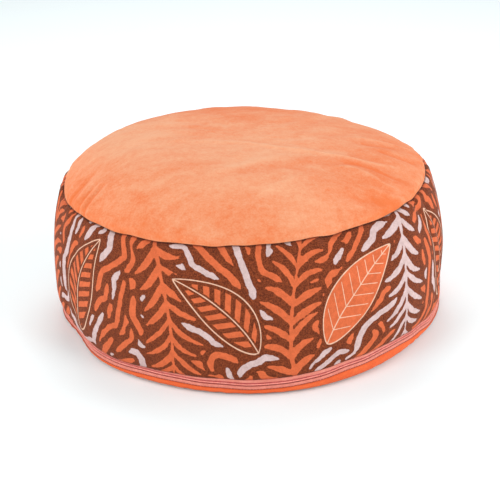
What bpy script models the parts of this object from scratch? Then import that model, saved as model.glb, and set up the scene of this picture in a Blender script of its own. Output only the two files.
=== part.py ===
"""A zafu: a round, firmly filled floor cushion.

The cushion is one filled form, parted at its seams. The top panel, the side band and the base panel each
carry their own share of the filling, and a closed zip runs round the foot between band and base. Every piece
starts as a turned form. One function, settle, then moves its points to where the filling and the stitching
really leave them, so all the pieces stay a seam's gap apart.

Metres, +Z up. The origin is on the floor under the middle. -Y is the front, +X the right.
"""

import math

import bpy
from mathutils import Vector

# Driving sizes
FULL_RADIUS = 0.180  # the band where it is fullest, so the cushion is 360 mm across
FULL_HEIGHT = 0.057  # how high that is
SEAM_RADIUS = 0.1657  # the top seam
SEAM_HEIGHT = 0.131
CROWN_RISE = 0.035  # the middle of the top above its seam
ZIP_RADIUS = 0.1768  # the zip's outer face
ZIP_HEIGHT = 0.0115  # the middle of its coil
FOOT_RADIUS = 0.1747  # the flat that the cushion rests on

# How full the curves are: a higher power stays full for longer and then turns faster
CROWN_POWER = 4.4
SHOULDER_POWER = 2.5
FOOT_POWER = 3.0

# Stitching and zip
GAP = 0.0003  # between any two pieces
SEAM_TUCK = 0.0026  # how far the stitching draws a panel's edge in
SEAM_REACH = 0.0032  # how far from the seam that is felt
SEAM_LEAN = math.radians(38)  # the way it draws, down from level
EDGE_LIFT = 0.0015  # the top panel's rolled edge turns under from this high over its seam
TAPE_WIDTH = 0.0029  # what shows of each tape
TAPE_THICKNESS = 0.0015
COIL_WIDTH = 0.0028
COIL_PROUD = 0.0004  # the coil's ridge stands this far past the tapes
ZIP_FOOT = ZIP_HEIGHT - COIL_WIDTH / 2 - TAPE_WIDTH - 2 * GAP  # where the base panel's roll ends
ZIP_HEAD = ZIP_HEIGHT + COIL_WIDTH / 2 + TAPE_WIDTH + 2 * GAP  # where the band begins
# The base panel's roll, down from the zip: shares of its height, and how far it stands past the zip's face
ROLL = ("height", "out")
BASE_ROLL = (
    (1.00, -0.0008),
    (0.72, 0.0004),
    (0.35, 0.0000),
)

# Unevenness, in metres. A pair is a shift towards +X and towards +Y.
ZIP_TILT = 0.0034  # the zip is higher on the right by this
SEAM_TILT = 0.0041  # and so is the top seam
CROWN_DRIFT = (-0.0061, -0.0029)  # the crown is fuller to the left and to the front
SEAM_DRIFT = (-0.0025, 0.0006)  # the seam's ring sits this far off the middle
ZIP_DRIFT = (0.0004, -0.0018)  # and the zip's ring this far
SEAM_DRIFT_POWER = 1.5
CENTRING = (-0.00054, 0.0)  # and the whole is moved by this, so that its box is centred on the origin
# The zip's ring isn't a true one. Each row is a wave so many times round: how far it lifts the ring and how
# far it pushes it out, as its share at +X (cos) and its share a quarter of a wave later (sin).
WAVES = ("times", "up_cos", "up_sin", "out_cos", "out_sin")
FOOT_WAVES = (
    (2, -0.0018, 0.0012, 0.0004, 0.0005),
    (3, -0.0020, 0.0004, 0.0000, 0.0008),
    (4, -0.0013, 0.0001, 0.0012, 0.0012),
    (5, -0.0005, 0.0014, 0.0007, 0.0000),
    (6, 0.0001, 0.0010, 0.0006, 0.0006),
)
# On the left the band sags over the zip, which is tucked in under it
TUCK_ANGLE = -158  # degrees round
TUCK_HALF_WIDTH = 14
TUCK_DEPTH = 0.0100
TUCK_POWER = 2.9  # added to FOOT_POWER there
# Upright folds in the band: degrees round at its top and at its foot, half width in degrees, depth in metres
FOLDS = ("top", "foot", "half_width", "depth")
BAND_FOLDS = (
    (-30, -17, 4.5, 0.0016),
    (-22, -8, 3.6, 0.0011),
    (-146, -156, 4.5, 0.0012),
    (112, 104, 6.0, 0.0012),
    (38, 46, 5.0, 0.0010),
)
FOLD_FADE = (0.18, 0.10)  # the shares of the band's height in which a fold fades at its foot and top
# Creases in the top: degrees round, half width in metres, depth in metres, the radii they run between
CREASES = ("angle", "half_width", "depth", "start", "end")
TOP_CREASES = (
    (-22, 0.012, 0.0018, 0.045, 0.158),
    (-46, 0.013, 0.0015, 0.085, 0.162),
)
CREASE_FADE = (0.33, 0.25)  # the shares of its run in which a crease fades at its start and end

# Fineness
STEPS = 108  # round the cushion
MERGE = 0.00001
SHARP_ANGLE = math.radians(50)
# The rows of points up the band from the zip, and in over the top from its seam
BAND_ROWS = (0.000, 0.005, 0.012, 0.022, 0.036, 0.054, 0.072, 0.088, 0.100, 0.108, 0.1125)
CROWN_ROWS = (0.0035, 0.009, 0.018, 0.032, 0.052, 0.078, 0.108, 0.138)

ROUGHNESS = 0.85
COLOURS = {
    "top_suede": (0.930, 0.345, 0.150),
    "band_print": (0.275, 0.065, 0.026),
    "zip_tape": (0.800, 0.235, 0.165),
    "zip_coil": (0.830, 0.260, 0.170),
    "base_suede": (0.890, 0.165, 0.048),
}


def clamp(value):
    return min(1.0, max(0.0, value))


def smooth(value):
    """0 to 1 with no corner at either end."""
    t = clamp(value)
    return t * t * (3 - 2 * t)


def rows(names, table):
    """The rows of a small table, each as a dictionary."""
    return [dict(zip(names, row)) for row in table]


def band_radius(height):
    """The band's outer face: fullest low down, drawn in towards the zip and towards the top seam."""
    if height < FULL_HEIGHT:
        share = clamp((FULL_HEIGHT - height) / (FULL_HEIGHT - ZIP_HEAD))
        return FULL_RADIUS - (FULL_RADIUS - ZIP_RADIUS) * share**FOOT_POWER
    share = clamp((height - FULL_HEIGHT) / (SEAM_HEIGHT - FULL_HEIGHT))
    return FULL_RADIUS - (FULL_RADIUS - SEAM_RADIUS) * share**SHOULDER_POWER


def crown_height(radius):
    """The top panel's face: nearly level in the middle, with steep shoulders."""
    return SEAM_HEIGHT + CROWN_RISE * (1 - (radius / SEAM_RADIUS) ** CROWN_POWER)


def tucked(radius, height, distance):
    """A point of a panel, drawn in by stitching that is that far away along its face."""
    pull = SEAM_TUCK * math.exp(-((distance / SEAM_REACH) ** 2))
    return radius - pull * math.cos(SEAM_LEAN), height - pull * math.sin(SEAM_LEAN)


def zip_ring_offset(angle):
    """How far the zip's ring is lifted and pushed out at this angle."""
    rise = out = 0.0
    for wave in rows(WAVES, FOOT_WAVES):
        turn = wave["times"] * angle
        rise += wave["up_cos"] * math.cos(turn) + wave["up_sin"] * math.sin(turn)
        out += wave["out_cos"] * math.cos(turn) + wave["out_sin"] * math.sin(turn)
    return rise, out


def bump(angle, middle, half_width):
    """1 at the middle and falling off to either side. The angle is in radians, the others in degrees."""
    away = (math.degrees(angle) - middle + 180) % 360 - 180
    return math.exp(-((away / half_width) ** 2))


def fold_depth(angle, climb):
    """How far the band's upright folds draw it in: climb is 0 at the zip and 1 at the top seam."""
    window = smooth(climb / FOLD_FADE[0]) * smooth((1 - climb) / FOLD_FADE[1])
    depth = 0.0
    for fold in rows(FOLDS, BAND_FOLDS):
        middle = fold["foot"] + (fold["top"] - fold["foot"]) * climb
        depth += fold["depth"] * window * bump(angle, middle, fold["half_width"])
    return depth


def crown_offset(radius, angle):
    """How far the crown is lifted: fuller on one side, and let down along its creases."""
    share = clamp(radius / SEAM_RADIUS)
    swell = 4 * share**2 * (1 - share**2)
    rise = swell * (CROWN_DRIFT[0] * math.cos(angle) + CROWN_DRIFT[1] * math.sin(angle))
    for crease in rows(CREASES, TOP_CREASES):
        turn = angle - math.radians(crease["angle"])
        run = (radius * math.cos(turn) - crease["start"]) / (crease["end"] - crease["start"])
        fade = smooth(run / CREASE_FADE[0]) * smooth((1 - run) / CREASE_FADE[1])
        away = radius * math.sin(turn)
        rise -= crease["depth"] * fade * math.exp(-((away / crease["half_width"]) ** 2))
    return rise


def settle(point):
    """Moves a point of the turned form to where it lies on the real, uneven cushion."""
    radius = math.hypot(point.x, point.y)
    angle = math.atan2(point.y, point.x)
    height = point.z
    spread = clamp(radius / ZIP_RADIUS)
    climb = clamp((height - ZIP_HEAD) / (SEAM_HEIGHT - ZIP_HEAD))
    off_floor = clamp(height / ZIP_FOOT)
    # the foot passes from the full circle to the zip's own ring
    near_zip = clamp((FULL_HEIGHT - height) / (FULL_HEIGHT - ZIP_HEAD))
    wave_rise, wave_out = zip_ring_offset(angle)
    tuck = bump(angle, TUCK_ANGLE, TUCK_HALF_WIDTH)
    low = near_zip ** (FOOT_POWER + TUCK_POWER * tuck)
    fuller = (FULL_RADIUS - ZIP_RADIUS) * (near_zip**FOOT_POWER - low)
    rise = wave_rise * near_zip * off_floor * spread
    out = ((wave_out - TUCK_DEPTH * tuck) * low + fuller - fold_depth(angle, climb)) * spread
    # the zip and the top seam are both tilted
    tilt = (ZIP_TILT + (SEAM_TILT - ZIP_TILT) * climb) * off_floor
    rise += tilt * radius * math.cos(angle) / SEAM_RADIUS
    if height > SEAM_HEIGHT:
        rise += crown_offset(radius, angle)
    high = clamp((height - FULL_HEIGHT) / (SEAM_HEIGHT - FULL_HEIGHT)) ** SEAM_DRIFT_POWER
    return Vector((
        (radius + out) * math.cos(angle) + low * ZIP_DRIFT[0] + high * SEAM_DRIFT[0] + CENTRING[0],
        (radius + out) * math.sin(angle) + low * ZIP_DRIFT[1] + high * SEAM_DRIFT[1] + CENTRING[1],
        height + rise,
    ))


def cloth(name):
    """The plain material of one piece."""
    material = bpy.data.materials.new(name)
    material.use_nodes = True
    shader = material.node_tree.nodes["Principled BSDF"]
    shader.inputs["Base Color"].default_value = (*COLOURS[name], 1.0)
    shader.inputs["Roughness"].default_value = ROUGHNESS
    shader.inputs["Metallic"].default_value = 0.0
    material.diffuse_color = (*COLOURS[name], 1.0)
    return material


def turned(collection, name, profile, material, ring=False):
    """A closed solid, turned and settled. The profile's (radius, height) points run down its outer side."""
    edges = [(i, i + 1) for i in range(len(profile) - 1)]
    if ring:
        edges.append((len(profile) - 1, 0))
    outline = bpy.data.meshes.new(name + "_outline")
    outline.from_pydata([(radius, 0.0, height) for radius, height in profile], edges, [])
    piece = bpy.data.objects.new(name, outline)
    collection.objects.link(piece)
    screw = piece.modifiers.new("turn", "SCREW")
    screw.steps = screw.render_steps = STEPS
    screw.use_merge_vertices = True
    screw.merge_threshold = MERGE
    bpy.context.view_layer.update()
    evaluated = piece.evaluated_get(bpy.context.evaluated_depsgraph_get())
    mesh = bpy.data.meshes.new_from_object(evaluated)
    mesh.name = name
    for vertex in mesh.vertices:
        vertex.co = settle(vertex.co)
    piece.modifiers.clear()
    piece.data = mesh
    bpy.data.meshes.remove(outline)
    mesh.shade_smooth()
    mesh.set_sharp_from_angle(angle=SHARP_ANGLE)
    mesh.materials.append(material)
    return piece


def top_panel(collection):
    """The crowned top, down to the plane of its seam."""
    profile = [(0.0, crown_height(0.0))]
    for inset in reversed(CROWN_ROWS):
        radius = SEAM_RADIUS - inset
        profile.append(tucked(radius, crown_height(radius), inset / math.cos(SEAM_LEAN)))
    edge_radius, edge_height = tucked(SEAM_RADIUS, SEAM_HEIGHT, 0.0)
    profile.append((edge_radius + GAP, edge_height + EDGE_LIFT))
    profile.append((edge_radius, edge_height + GAP / 2))
    profile.append((0.0, edge_height + GAP / 2))
    return turned(collection, "top_panel", profile, cloth("top_suede"))


def side_band(collection):
    """The band and the filling behind it, from the zip up to the plane of the top seam."""
    edge_radius, edge_height = tucked(SEAM_RADIUS, SEAM_HEIGHT, 0.0)
    profile = [(0.0, edge_height - GAP / 2), (edge_radius, edge_height - GAP / 2)]
    for climb in reversed(BAND_ROWS):
        height = ZIP_HEAD + climb
        radius, height = tucked(band_radius(height), height, SEAM_HEIGHT - height)
        if climb == BAND_ROWS[0]:
            radius -= TAPE_THICKNESS / 2
        profile.append((radius, height))
    profile.append((0.0, ZIP_HEAD))
    return turned(collection, "side_band", profile, cloth("band_print"))


def base_panel(collection):
    """The base and the filling over it: a roll that shows under the zip, and a step that the zip lies on."""
    step_radius = ZIP_RADIUS - TAPE_THICKNESS - GAP
    top_height = ZIP_HEAD - GAP
    profile = [(0.0, top_height), (step_radius, top_height), (step_radius, ZIP_FOOT)]
    for row in rows(ROLL, BASE_ROLL):
        profile.append((ZIP_RADIUS + row["out"], ZIP_FOOT * row["height"]))
    profile += [(FOOT_RADIUS, 0.0), (0.0, 0.0)]
    return turned(collection, "base_panel", profile, cloth("base_suede"))


def zip_ring(collection, name, middle, width, proud, material):
    """One strip of the zip, lying on the base panel's step: a ring with its outer corners eased."""
    inner = ZIP_RADIUS - TAPE_THICKNESS
    outer = ZIP_RADIUS + proud
    half = width / 2
    profile = [
        (inner, middle + half),
        (outer - GAP, middle + half),
        (outer, middle + half / 2),
        (outer, middle - half / 2),
        (outer - GAP, middle - half),
        (inner, middle - half),
    ]
    return turned(collection, name, profile, material, ring=True)


def build():
    for leftover in list(bpy.data.objects):
        bpy.data.objects.remove(leftover)
    collection = bpy.data.collections.new("zafu_cushion")
    bpy.context.scene.collection.children.link(collection)
    top_panel(collection)
    side_band(collection)
    tape = cloth("zip_tape")
    aside = COIL_WIDTH / 2 + GAP + TAPE_WIDTH / 2
    zip_ring(collection, "zip_tape_upper", ZIP_HEIGHT + aside, TAPE_WIDTH, 0.0, tape)
    zip_ring(collection, "zip_coil", ZIP_HEIGHT, COIL_WIDTH, COIL_PROUD, cloth("zip_coil"))
    zip_ring(collection, "zip_tape_lower", ZIP_HEIGHT - aside, TAPE_WIDTH, 0.0, tape)
    base_panel(collection)


build()
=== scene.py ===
# %% [markdown]
# A zafu, panel by panel
#
# This cushion is a round top, a printed band, a zip and a round base, sewn together over loose husks. The
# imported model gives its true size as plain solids. This script makes the look of each panel round those
# solids: the fine surface, the pressed-out cloth, the zip's coil, the print and the suede.

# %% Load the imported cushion
import math
from functools import partialmethod

import bpy
import numpy as np
from mathutils import Matrix, Vector


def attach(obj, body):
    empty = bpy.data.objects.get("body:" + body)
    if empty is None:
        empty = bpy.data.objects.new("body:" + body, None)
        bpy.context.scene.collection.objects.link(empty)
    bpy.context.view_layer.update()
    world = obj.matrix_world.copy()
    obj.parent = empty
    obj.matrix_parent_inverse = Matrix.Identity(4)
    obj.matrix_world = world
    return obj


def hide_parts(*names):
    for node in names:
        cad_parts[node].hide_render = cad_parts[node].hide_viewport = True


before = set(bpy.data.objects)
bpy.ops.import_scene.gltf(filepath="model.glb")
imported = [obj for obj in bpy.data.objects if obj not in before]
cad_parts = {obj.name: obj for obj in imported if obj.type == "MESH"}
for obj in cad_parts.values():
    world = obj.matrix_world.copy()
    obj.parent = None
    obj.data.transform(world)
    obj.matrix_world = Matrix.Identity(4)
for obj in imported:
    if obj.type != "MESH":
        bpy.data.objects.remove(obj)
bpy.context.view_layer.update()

print("solids:", ", ".join(sorted(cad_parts)))

# %% [markdown]
# The sizes that everything follows
#
# A cushion maker starts from a few numbers: how wide, how high, where the seams run. They are the same ones
# that the solids were made from, in metres, so each panel here lies where its solid lies.

# %% Driving sizes
FULL_RADIUS = 0.180
FULL_HEIGHT = 0.057
SEAM_RADIUS = 0.1657
SEAM_HEIGHT = 0.131
CROWN_RISE = 0.035
ZIP_RADIUS = 0.1768
ZIP_HEIGHT = 0.0115
FOOT_RADIUS = 0.1747
CROWN_POWER = 4.4
SHOULDER_POWER = 2.5
FOOT_POWER = 3.0
GAP = 0.0003
SEAM_TUCK = 0.0026
SEAM_REACH = 0.0032
SEAM_LEAN = math.radians(38)
TAPE_WIDTH = 0.0029
TAPE_THICKNESS = 0.0015
COIL_WIDTH = 0.0028
ZIP_FOOT = ZIP_HEIGHT - COIL_WIDTH / 2 - TAPE_WIDTH - 2 * GAP
ZIP_HEAD = ZIP_HEIGHT + COIL_WIDTH / 2 + TAPE_WIDTH + 2 * GAP
AROUND = 2 * math.pi * FULL_RADIUS
print(f"{2 * FULL_RADIUS * 1000:.0f} mm across, {AROUND * 1000:.0f} mm round")

# %% [markdown]
# Where the filling leaves it uneven
#
# A hand-filled cushion is never a true turned shape. Its rings sit a little off the middle, one side is
# fuller, and folds and creases run where the cloth is slack. These rows say where, as the solids do, and the
# fine creases after them are only for the look. Angles are degrees round from +X, and the front is at -90.

# %% Unevenness
ZIP_TILT = 0.0034
SEAM_TILT = 0.0041
CROWN_DRIFT = (-0.0061, -0.0029)
SEAM_DRIFT = (-0.0025, 0.0006)
ZIP_DRIFT = (0.0004, -0.0018)
SEAM_DRIFT_POWER = 1.5
CENTRING = (-0.00054, 0.0)
FOOT_WAVES = (  # times round, then up and out, each as a cosine and a sine
    (2, -0.0018, 0.0012, 0.0004, 0.0005),
    (3, -0.0020, 0.0004, 0.0000, 0.0008),
    (4, -0.0013, 0.0001, 0.0012, 0.0012),
    (5, -0.0005, 0.0014, 0.0007, 0.0000),
    (6, 0.0001, 0.0010, 0.0006, 0.0006),
)
TUCK_ANGLE = -158
TUCK_HALF_WIDTH = 14
TUCK_DEPTH = 0.0100
TUCK_POWER = 2.9
BAND_FOLDS = (  # angle at the top, angle at the foot, half width, depth
    (-30, -17, 4.5, 0.0016),
    (-22, -8, 3.6, 0.0011),
    (-146, -156, 4.5, 0.0012),
    (112, 104, 6.0, 0.0012),
    (38, 46, 5.0, 0.0010),
)
FOLD_FADE = (0.18, 0.10)
TOP_CREASES = (  # angle, half width, depth, start and end from the middle
    (-22, 0.012, 0.0018, 0.045, 0.158),
    (-46, 0.013, 0.0015, 0.085, 0.162),
)
CREASE_FADE = (0.33, 0.25)
print(f"{len(BAND_FOLDS)} folds and {len(TOP_CREASES)} creases, as in the solids")

# %% [markdown]
# The shape of each panel
#
# Each panel is first a turned profile, a radius for each height. Then one function, settle, moves every
# point to where it lies on the uneven cushion. Working on whole arrays at once lets the grid be fine enough
# for seams and puckers, about a millimetre, without waiting.

# %% Shape functions
def smooth(value):
    t = np.clip(value, 0, 1)
    return t * t * (3 - 2 * t)


def bell(away, reach):
    """1 where the distance is 0, falling off softly to either side."""
    return np.exp(-((away / reach) ** 2))


def bump(angle, middle, half_width):
    """A bell round the middle. The angle is in radians, the others in degrees."""
    return bell((np.degrees(angle) - middle + 180) % 360 - 180, half_width)


def share_of(value, start, end):
    """How far the value is from start to end: 0 before and 1 after."""
    return np.clip((value - start) / (end - start), 0, 1)


def band_radius(height):
    """The band's face: fullest low down, drawn in towards the zip and towards the top seam."""
    low = share_of(height, FULL_HEIGHT, ZIP_HEAD) ** FOOT_POWER
    high = share_of(height, FULL_HEIGHT, SEAM_HEIGHT) ** SHOULDER_POWER
    return FULL_RADIUS - (FULL_RADIUS - ZIP_RADIUS) * low - (FULL_RADIUS - SEAM_RADIUS) * high


def crown_height(radius):
    """The top's face: nearly level in the middle, with steep shoulders."""
    return SEAM_HEIGHT + CROWN_RISE * (1 - (radius / SEAM_RADIUS) ** CROWN_POWER)


def tucked(radius, height, distance):
    """Points of a panel drawn in by stitching that is that far away along its face."""
    pull = SEAM_TUCK * bell(distance, SEAM_REACH)
    return radius - pull * math.cos(SEAM_LEAN), height - pull * math.sin(SEAM_LEAN)


def fold_depth(angle, climb, folds):
    """How far upright folds draw the band in: climb is 0 at the zip and 1 at the top seam."""
    window = smooth(climb / FOLD_FADE[0]) * smooth((1 - climb) / FOLD_FADE[1])
    depth = 0.0
    for top, foot, half_width, deep in folds:
        depth = depth + deep * window * bump(angle, foot + (top - foot) * climb, half_width)
    return depth


def crease_depth(radius, angle, creases):
    """How far creases let the top down."""
    depth = 0.0
    for middle, half_width, deep, start, end in creases:
        turn = angle - math.radians(middle)
        run = (radius * np.cos(turn) - start) / (end - start)
        fade = smooth(run / CREASE_FADE[0]) * smooth((1 - run) / CREASE_FADE[1])
        depth = depth + deep * fade * bell(radius * np.sin(turn), half_width)
    return depth


def settle(radius, height, angle):
    """Points of the turned form, moved to where they lie on the real, uneven cushion."""
    spread = np.clip(radius / ZIP_RADIUS, 0, 1)
    climb = share_of(height, ZIP_HEAD, SEAM_HEIGHT)
    off_floor = share_of(height, 0, ZIP_FOOT)
    near_zip = share_of(height, FULL_HEIGHT, ZIP_HEAD)
    wave_rise = wave_out = 0.0
    for times, up_cos, up_sin, out_cos, out_sin in FOOT_WAVES:
        cos, sin = np.cos(times * angle), np.sin(times * angle)
        wave_rise = wave_rise + up_cos * cos + up_sin * sin
        wave_out = wave_out + out_cos * cos + out_sin * sin
    tuck = bump(angle, TUCK_ANGLE, TUCK_HALF_WIDTH)
    low = near_zip ** (FOOT_POWER + TUCK_POWER * tuck)
    fuller = (FULL_RADIUS - ZIP_RADIUS) * (near_zip**FOOT_POWER - low)
    rise = wave_rise * near_zip * off_floor * spread
    out = ((wave_out - TUCK_DEPTH * tuck) * low + fuller - fold_depth(angle, climb, BAND_FOLDS)) * spread
    tilt = (ZIP_TILT + (SEAM_TILT - ZIP_TILT) * climb) * off_floor
    rise = rise + tilt * radius * np.cos(angle) / SEAM_RADIUS
    share = np.clip(radius / SEAM_RADIUS, 0, 1)
    swell = 4 * share**2 * (1 - share**2)
    crown = swell * (CROWN_DRIFT[0] * np.cos(angle) + CROWN_DRIFT[1] * np.sin(angle))
    crown = crown - crease_depth(radius, angle, TOP_CREASES)
    rise = rise + np.where(height > SEAM_HEIGHT, crown, 0.0)
    high = share_of(height, FULL_HEIGHT, SEAM_HEIGHT) ** SEAM_DRIFT_POWER
    drift = [low * zip_drift + high * seam_drift for zip_drift, seam_drift in zip(ZIP_DRIFT, SEAM_DRIFT)]
    x = (radius + out) * np.cos(angle) + drift[0] + CENTRING[0]
    y = (radius + out) * np.sin(angle) + drift[1] + CENTRING[1]
    return np.stack([x, y, height + rise], axis=-1)


print(f"{crown_height(0.0) * 1000:.0f} mm high at the crown, before it leans")

# %% [markdown]
# From rows of points to a closed skin
#
# Blender could turn a profile with a Screw modifier, but here every point is also moved, mapped and printed
# on. So a panel is a grid, so many rows of so many points, and one function joins them into faces, closes
# the middle with a pole, and lays a UV map that is in metres of cloth. The join is at the back. The rows get
# what is too fine for the solids too: a ruffle along both seams, and places where the top seam is fuller.

# %% Grids and skins
ROUND = 960  # points round a panel, 1.2 mm apart
JOIN = math.pi / 2  # the angle where a panel's map starts, at the back
NEVER_ZERO = 1e-12  # added to what is divided by


def angles_round(count):
    return JOIN + np.arange(count) * 2 * math.pi / count


def spaced(length, fine, coarse, growth=1.25):
    """Distances from 0 to length, fine at first and growing to coarse."""
    marks, step = [0.0], fine
    while marks[-1] < length:
        marks.append(marks[-1] + step)
        step = min(coarse, step * growth)
    return np.array(marks) * length / marks[-1]


def spaced_both(length, fine, coarse):
    """Distances from 0 to length that are fine at both ends."""
    half = spaced(length / 2, fine, coarse)
    return np.concatenate([half, length - half[-2::-1]])


def curve_round(fewest, most, seed, count=ROUND):
    """A closed random curve of unit size, with between so many waves round."""
    random = np.random.default_rng(seed)
    angle = angles_round(count)
    total = np.zeros(count)
    for times in range(fewest, most + 1):
        total += random.normal() * np.cos(times * angle + random.uniform(0, 2 * math.pi))
    return total / total.std()


# %% Ruffles and fullness
SEAM_RUFFLE = 0.00035
ZIP_RUFFLE = 0.00030
RUFFLE_REACH = 0.012
SEAM_FULLNESS = (  # angle, half width, out, up
    (13, 14, 0.0024, -0.0004),
    (46, 22, -0.0018, -0.0018),
    (-166, 10, 0.0004, -0.0022),
    (171, 9, 0.0014, 0.0004),
    (110, 20, 0.0000, -0.0008),
)
FULLNESS_REACH = 0.026
BAND_OVERLAPS = (  # angle, half width, how far the band hangs down over the zip
    (-126, 26, 0.0026),
    (-38, 20, 0.0019),
    (-8, 10, 0.0016),
)
OVERLAP_REACH = 0.010


def settled(profile, count=ROUND):
    """The profile's (radius, height) rows, turned, settled and ruffled: an array of rows by points by 3."""
    angle = angles_round(count)[None, :]
    radius = np.asarray(profile)[:, 0, None]
    height = np.asarray(profile)[:, 1, None]
    points = settle(radius + 0 * angle, height + 0 * angle, angle + 0 * radius)
    from_seam = np.hypot(radius - SEAM_RADIUS, height - SEAM_HEIGHT)
    at_rim = smooth(radius / ZIP_RADIUS)
    for middle, half_width, out, up in SEAM_FULLNESS:
        here = bell(from_seam, FULLNESS_REACH) * bump(angle, middle, half_width)
        points += np.stack([here * out * np.cos(angle), here * out * np.sin(angle), here * up], axis=-1)
    tape = smooth((height - (ZIP_HEAD - GAP - TAPE_WIDTH)) / TAPE_WIDTH) * at_rim
    tape = tape * np.exp(-np.clip(height - ZIP_HEAD, 0, None) / OVERLAP_REACH)
    for middle, half_width, deep in BAND_OVERLAPS:
        points[..., 2] -= tape * deep * bump(angle, middle, half_width)
    near_zip = bell(height - ZIP_HEIGHT, RUFFLE_REACH) * smooth(height / ZIP_FOOT) * at_rim
    near_seam = bell(from_seam, RUFFLE_REACH)
    points[..., 2] += SEAM_RUFFLE * near_seam * curve_round(fewest=9, most=46, seed=1, count=count)
    points[..., 2] += ZIP_RUFFLE * near_zip * curve_round(fewest=7, most=34, seed=2, count=count)
    return points


def outward(points):
    """The way each point of a grid faces, out of the cushion."""
    along = np.roll(points, -1, axis=1) - np.roll(points, 1, axis=1)
    down = np.gradient(points, axis=0)
    facing = np.cross(down, along)
    return facing / (np.linalg.norm(facing, axis=2, keepdims=True) + NEVER_ZERO)


# %% Skins
def placed(name, data):
    """An object with this data, put in the scene."""
    made = bpy.data.objects.new(name, data)
    bpy.context.scene.collection.objects.link(made)
    return made


def skin(name, points, ring=False):
    """One closed mesh over rows of points. A ring's last row joins its first, and other skins get poles."""
    count_rows, count = points.shape[:2]
    section = points.mean(axis=1, keepdims=True) if ring else points
    step = np.linalg.norm(np.diff(section, axis=0), axis=2).mean(axis=1)
    run = np.append(0.0, np.cumsum(np.append(step, step[0])))
    last = count_rows if ring else count_rows - 1
    column, row = np.tile(np.arange(count), last), np.repeat(np.arange(last), count)
    after, under = (column + 1) % count, (row + 1) % count_rows
    corners = [(row, column), (under, column), (under, after), (row, after)]
    face_list = np.stack([r * count + c for r, c in corners], axis=1).tolist()
    across = np.stack([column, column, column + 1, column + 1], axis=1) / count
    down = run[np.stack([row, row + 1, row + 1, row], axis=1)]
    cloth = [np.stack([across, down], axis=2).reshape(-1, 2)]
    verts = points.reshape(-1, 3)
    if not ring:
        j, end = np.arange(count), (count_rows - 1) * count
        for pole, (edge, a, b) in enumerate([(0, j, j + 1), (end, j + 1, j)]):
            tip = np.full(count, len(points) * count + pole)
            face_list += np.stack([tip, edge + a % count, edge + b % count], axis=1).tolist()
            across = np.stack([j + 0.5, a, b], axis=1) / count
            cloth.append(np.stack([across, 0 * across + run[edge // count]], axis=2).reshape(-1, 2))
        verts = np.concatenate([verts, [points[0].mean(axis=0), points[-1].mean(axis=0)]])
    uv = np.concatenate(cloth)
    uv[:, 0] = (uv[:, 0] - 0.5) * AROUND
    mesh = bpy.data.meshes.new(name)
    mesh.from_pydata(verts.tolist(), [], face_list)
    mesh.uv_layers.new(name="cloth").data.foreach_set("uv", uv.astype(np.float32).ravel())
    mesh.shade_smooth()
    print(f"{name}: {count_rows} rows of {count}, {len(face_list)} faces")
    return placed(name, mesh)


def keep(piece, name, values, hidden=0.0):
    """Keeps a value for each of a piece's points, for its finish. The hidden points after those share one."""
    rest = np.full(len(piece.data.vertices) - np.size(values), hidden)
    layer = piece.data.attributes.new(name, "FLOAT", "POINT")
    layer.data.foreach_set("value", np.append(values, rest).astype(np.float32))


# %% [markdown]
# Pressing the cover out
#
# Husks press on a cover from inside, and the stitching holds it back. Blender's cloth does the same: a
# coarse closed cage, pinned along its seams, is blown up a little with no gravity. The cloth is also made
# 2% too large, so it puckers beside the stitches. The cage is thrown away afterwards. Only a share of how far
# each point went in or out is kept, at most a millimetre and less the even swelling, because the outline is
# right already.

# %% Cloth simulation
CAGE_ROUND = 240
SPARE_CLOTH = -0.02  # a negative shrink: the cloth is that much larger than its place
MICROSUEDE = {
    "quality": 5, "mass": 0.3, "tension_stiffness": 15, "compression_stiffness": 15, "shear_stiffness": 5,
    "bending_stiffness": 0.5, "use_pressure": True, "uniform_pressure_force": 4.0,
    "shrink_min": SPARE_CLOTH, "shrink_max": SPARE_CLOTH, "vertex_group_mass": "stitched",
}
FRAMES = 20
SHARES_KEPT = {"crown": 0.22, "band": 0.50}
MOST_MOVE = 0.0010
CROWN_ROWS = (0.154, 0.158, 0.1615, 0.1645)  # the last rows before the seam, as radii
BAND_ROWS = (0.0022, 0.005, 0.0085)  # the first rows under it, as drops


def cage_profiles():
    """Coarse rows for the crown, the band and the foot: pinned rows are the seams and all below the zip."""
    radius = np.append(np.linspace(0.004, 0.150, 34), CROWN_ROWS)
    crown = np.stack([radius, crown_height(radius)], axis=1)
    seam = np.array([tucked(SEAM_RADIUS, SEAM_HEIGHT, 0.0)])
    height = SEAM_HEIGHT - np.append(BAND_ROWS, np.linspace(0.0125, SEAM_HEIGHT - ZIP_HEAD - 0.001, 24))
    band = np.stack([band_radius(height), height], axis=1)
    foot = np.array([(ZIP_RADIUS, ZIP_HEAD), (ZIP_RADIUS, ZIP_FOOT), (FOOT_RADIUS, 0.0), (0.09, 0.0)])
    return crown, seam, band, foot


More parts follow.
